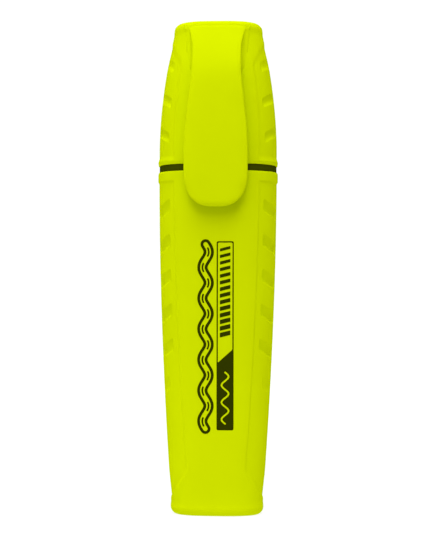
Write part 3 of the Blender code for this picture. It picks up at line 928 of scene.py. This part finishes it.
def dress(item, material):
    """Give a new piece its material."""
    item.data.materials.clear()
    item.data.materials.append(material)


# ---- stage -------------------------------------------------------------------------------------

# height of the direction (-1 straight down, 1 straight up) and how bright the light tent is there
TENT = ((-1.0, 1.2), (0.25, 1.17), (0.31, 0.02), (0.7, 0.02), (0.78, 1.2), (1.0, 1.4))
TENT_FRONT = 0.38            # the share of this that is left on the camera's side
TENT_FADE = (-0.4, 0.1)      # that share up to the first Y of the direction, all of it from the second
# name, azimuth and elevation in degrees, watts, side in metres
KEYS = (
    ("high_key", -3.0, 68.0, 5.1, 0.6),
    ("main_key", -1.0, 36.0, 1.65, 0.28),
    ("side_key", -60.0, 22.0, 1.4, 1.0),
)
KEY_DISTANCE = 0.8
KEY_TARGET = (0.0, 0.0, 0.06)
# metres behind the pen (in front of it where negative) and how much the floor glows there: little further
# in front of the pen, which the matched picture doesn't show
FLOOR_GLOW = ((-1.0, 0.08), (-0.3, 0.08), (-0.04, 0.84), (0.08, 0.84), (0.5, 0.96), (1.0, 0.96))
# how pale the floor and the backdrop look, whatever light they give
FLOOR_SEEN = ((-1.0, 0.96), (-0.5, 0.96), (-0.08, 0.84), (0.08, 0.84), (0.5, 0.96), (1.0, 0.96))
BACKDROP_SEEN = 1.05
FLOOR_HALF = 12.0


def levels(nodes, links, value, stops):
    """A grey ramp over a value from -1 to 1, brought to at most 1: its output and its highest level."""
    place = nodes.new("ShaderNodeMapRange")
    place.inputs["From Min"].default_value = -1.0
    node = nodes.new("ShaderNodeValToRGB")
    elements = node.color_ramp.elements
    highest = max(level for _, level in stops)
    for where, level in stops:
        position = (where + 1.0) / 2.0
        element = elements[0] if where == stops[0][0] else elements.new(position)
        element.position = position
        element.color = (level / highest,) * 3 + (1.0,)
    elements.remove(elements[-1])
    links.new(value, place.inputs["Value"])
    links.new(place.outputs["Result"], node.inputs["Fac"])
    return node.outputs["Color"], highest


def seen_or_lit(nodes, links, seen, lit):
    """One colour for what is seen directly and another for the light that it gives."""
    rays = nodes.new("ShaderNodeLightPath")
    node = nodes.new("ShaderNodeMix")
    node.data_type = "RGBA"
    first, second = [item for item in node.inputs if item.type == "RGBA"]
    links.new(rays.outputs["Is Camera Ray"], node.inputs["Factor"])
    links.new(lit, first)
    if isinstance(seen, float):
        second.default_value = (seen, seen, seen, 1.0)
    else:
        links.new(seen, second)
    return next(item for item in node.outputs if item.type == "RGBA")


def stage():
    """The pale floor, which glows."""
    floor_material = new_material("pale_floor", (0.2, 0.2, 0.2), 0.9, Specular_IOR_Level=0.0)
    principled = floor_material.node_tree.nodes["Principled BSDF"]
    nodes, links = floor_material.node_tree.nodes, floor_material.node_tree.links
    place = nodes.new("ShaderNodeTexCoord")
    split = nodes.new("ShaderNodeSeparateXYZ")
    links.new(place.outputs["Object"], split.inputs[0])
    glow, brightest = levels(nodes, links, split.outputs["Y"], FLOOR_GLOW)
    pale, _ = levels(nodes, links, split.outputs["Y"], FLOOR_SEEN)
    links.new(seen_or_lit(nodes, links, pale, glow), principled.inputs["Emission Strength"])
    principled.inputs["Emission Color"].default_value = (brightest, brightest, brightest, 1.0)
    corners = ((-1.0, -1.0), (1.0, -1.0), (1.0, 1.0), (-1.0, 1.0))
    verts = [(x * FLOOR_HALF, y * FLOOR_HALF, 0.0) for x, y in corners]
    floor = make_object("floor", verts, [(0, 1, 2, 3)])
    floor.data.materials.append(floor_material)


def area_light(name, place, target, size, power):
    """A square soft light that points at a target."""
    light = bpy.data.lights.new(name, "AREA")
    light.shape = "RECTANGLE"
    light.size = light.size_y = size
    light.energy = power
    item = bpy.data.objects.new(name, light)
    item.location = place
    direction = Vector(target) - Vector(place)
    item.rotation_euler = direction.to_track_quat("-Z", "Y").to_euler()
    bpy.context.scene.collection.objects.link(item)


def lights():
    """A light tent with pale walls, a dark gap above them and a bright ceiling, and three soft lights."""
    world = bpy.data.worlds.new("studio")
    bpy.context.scene.world = world
    world.use_nodes = True
    nodes, links = world.node_tree.nodes, world.node_tree.links
    direction = nodes.new("ShaderNodeTexCoord")
    split = nodes.new("ShaderNodeSeparateXYZ")
    links.new(direction.outputs["Generated"], split.inputs[0])
    tent, brightest = levels(nodes, links, split.outputs["Z"], TENT)
    background = nodes["Background"]
    background.inputs["Strength"].default_value = brightest
    dimming = nodes.new("ShaderNodeMapRange")
    dimming.inputs["From Min"].default_value = TENT_FADE[0]
    dimming.inputs["From Max"].default_value = TENT_FADE[1]
    dimming.inputs["To Min"].default_value = TENT_FRONT
    dimmed = nodes.new("ShaderNodeVectorMath")
    dimmed.operation = "SCALE"
    links.new(split.outputs["Y"], dimming.inputs["Value"])
    links.new(dimming.outputs["Result"], dimmed.inputs["Scale"])
    links.new(tent, dimmed.inputs[0])
    light = seen_or_lit(nodes, links, BACKDROP_SEEN / brightest, dimmed.outputs["Vector"])
    links.new(light, background.inputs["Color"])
    centre = Vector(KEY_TARGET)
    for name, azimuth, elevation, power, size in KEYS:
        turn, rise = math.radians(azimuth), math.radians(elevation)
        level = math.cos(rise)
        towards = Vector((math.sin(turn) * level, -math.cos(turn) * level, math.sin(rise)))
        area_light(name, centre + KEY_DISTANCE * towards, centre, size, power)


# ---- camera, metres ----------------------------------------------------------------------------

CAMERA_DISTANCE = 0.325
CAMERA_HEIGHT = 0.050
CAMERA_AZIMUTH = 3.0         # degrees
CAMERA_ROLL = -0.19          # degrees, the pen leans a little to the right
AIM = (-0.00065, 0.0, 0.05737)
FRAME_HEIGHT = 0.12635       # what the picture's height spans at the pen's mid-plane
SENSOR_WIDTH = 36.0          # millimetres
CLIP_START = 0.01


def camera():
    """The camera in front of the pen, matched to the photo."""
    data = bpy.data.cameras.new("camera")
    item = bpy.data.objects.new("camera", data)
    bpy.context.scene.collection.objects.link(item)
    azimuth = math.radians(CAMERA_AZIMUTH)
    aim = Vector(AIM)
    item.location = aim + CAMERA_DISTANCE * Vector((math.sin(azimuth), -math.cos(azimuth), 0.0))
    item.location.z = CAMERA_HEIGHT
    direction = aim - item.location
    roll = Matrix.Rotation(math.radians(CAMERA_ROLL), 4, direction)
    item.rotation_euler = (roll.to_quaternion() @ direction.to_track_quat("-Z", "Y")).to_euler()
    data.sensor_width = SENSOR_WIDTH
    data.lens = SENSOR_WIDTH * direction.length / FRAME_HEIGHT
    data.clip_start = CLIP_START
    bpy.context.scene.camera = item


def main():
    """Set up the stage, build every new piece and give each one its looks."""
    camera()
    stage()
    lights()
    plastic = moulded("fluorescent_plastic", FLUORESCENT, 0.42, FLUORESCENT_WORN)
    for item in (barrel(), cap(), pocket_clip()):
        dress(item, plastic)
    dress(nib_holder(), moulded("dark_plastic", DARK, 0.42, DARK_WORN))
    ink = moulded("print_ink", PRINT_INK, 0.5, PRINT_WORN)
    for item in (print_wave(), print_scale()):
        dress(item, ink)
    dress(nib(), fibre("nib_fibre", NIB_FIBRE, NIB_SOAKED, strand=0.12, roughness=0.95))
    dress(inner_cap(), soft_seal())
    inside = {
        "ink_reservoir": fibre("ink_fibre", INK_FIBRE, INK_SOAKED, strand=0.3, roughness=0.9),
        "reservoir_film": film("clear_film", CLEAR, 0.3),
        "breather_tube": film("clear_tube", CLEAR, 0.25),
    }
    for node, material in inside.items():
        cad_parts[node].material_slots[0].material = material
    bpy.context.scene.view_settings.view_transform = "Standard"


main()
